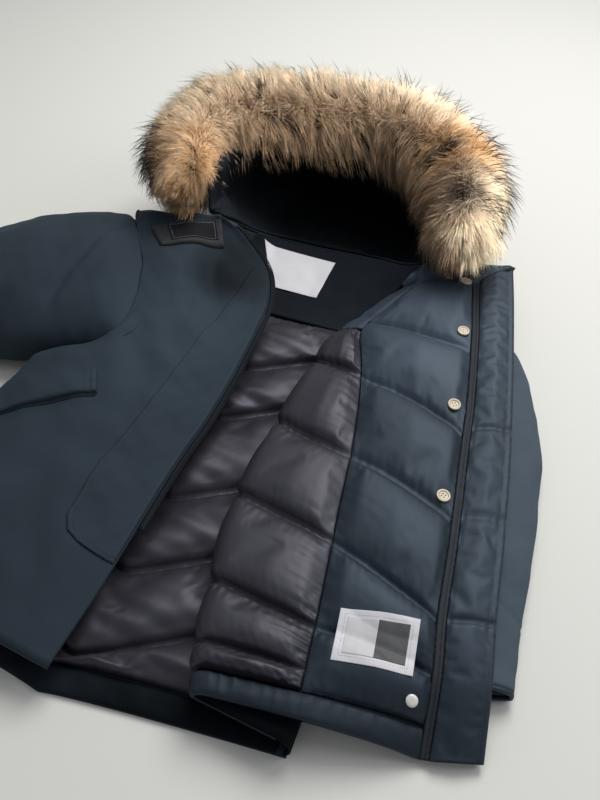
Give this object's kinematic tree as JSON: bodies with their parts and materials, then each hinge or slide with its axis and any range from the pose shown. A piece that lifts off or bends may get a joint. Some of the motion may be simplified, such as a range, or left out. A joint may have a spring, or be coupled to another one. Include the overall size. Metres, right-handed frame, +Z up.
{
  "type": "fur trimmed parka",
  "caption": "Padded hooded coat with a long fur trim round the hood, laid on its back with one front folded open over the quilted lining.",
  "frame": {"origin": "underside of the back where it lies on the floor, at the centre back halfway between neck and hem", "axes": "+Z up from the floor, +Y from the hem to the hood along the centre back, +X to the wearer's left"},
  "size_m": [1.0446, 1.0329, 0.243],
  "materials": {
    "shell_navy": "matt brushed cotton blend",
    "satin_navy": "soft satin, half matt",
    "lining_black": "satin with a sheen",
    "fur": "long natural fur, cream to dark brown",
    "woven_white": "white satin label",
    "woven_black": "black woven label",
    "zip_black": "matt black",
    "ivory": "polished ivory"
  },
  "bodies": {
    "root": {"back": "shell_navy", "back_hem_facing": "satin_navy", "back_lining": "lining_black", "back_neck_facing": "satin_navy", "button_1": "ivory", "button_2": "ivory", "button_3": "ivory", "button_4": "ivory", "fur_trim": "fur", "hood": "shell_navy", "hood_lining": "satin_navy", "left_cuff": "shell_navy", "left_front": "shell_navy", "left_front_facing": "satin_navy", "left_front_lining": "lining_black", "left_hem_facing": "satin_navy", "left_placket": "satin_navy", "left_sleeve": "shell_navy", "left_yoke_facing": "satin_navy", "left_zip_tape": "zip_black", "neck_label": "woven_white", "patch_label": "woven_white", "pocket_welt": "shell_navy", "right_cuff": "shell_navy", "right_fly": "shell_navy", "right_front": "shell_navy", "right_front_lining": "lining_black", "right_sleeve": "shell_navy", "right_sleeve_lower": "shell_navy", "right_zip_tape": "zip_black", "snap": "ivory", "throat_tab": "shell_navy", "throat_tab_label": "woven_black"}
  },
  "joints": []
}
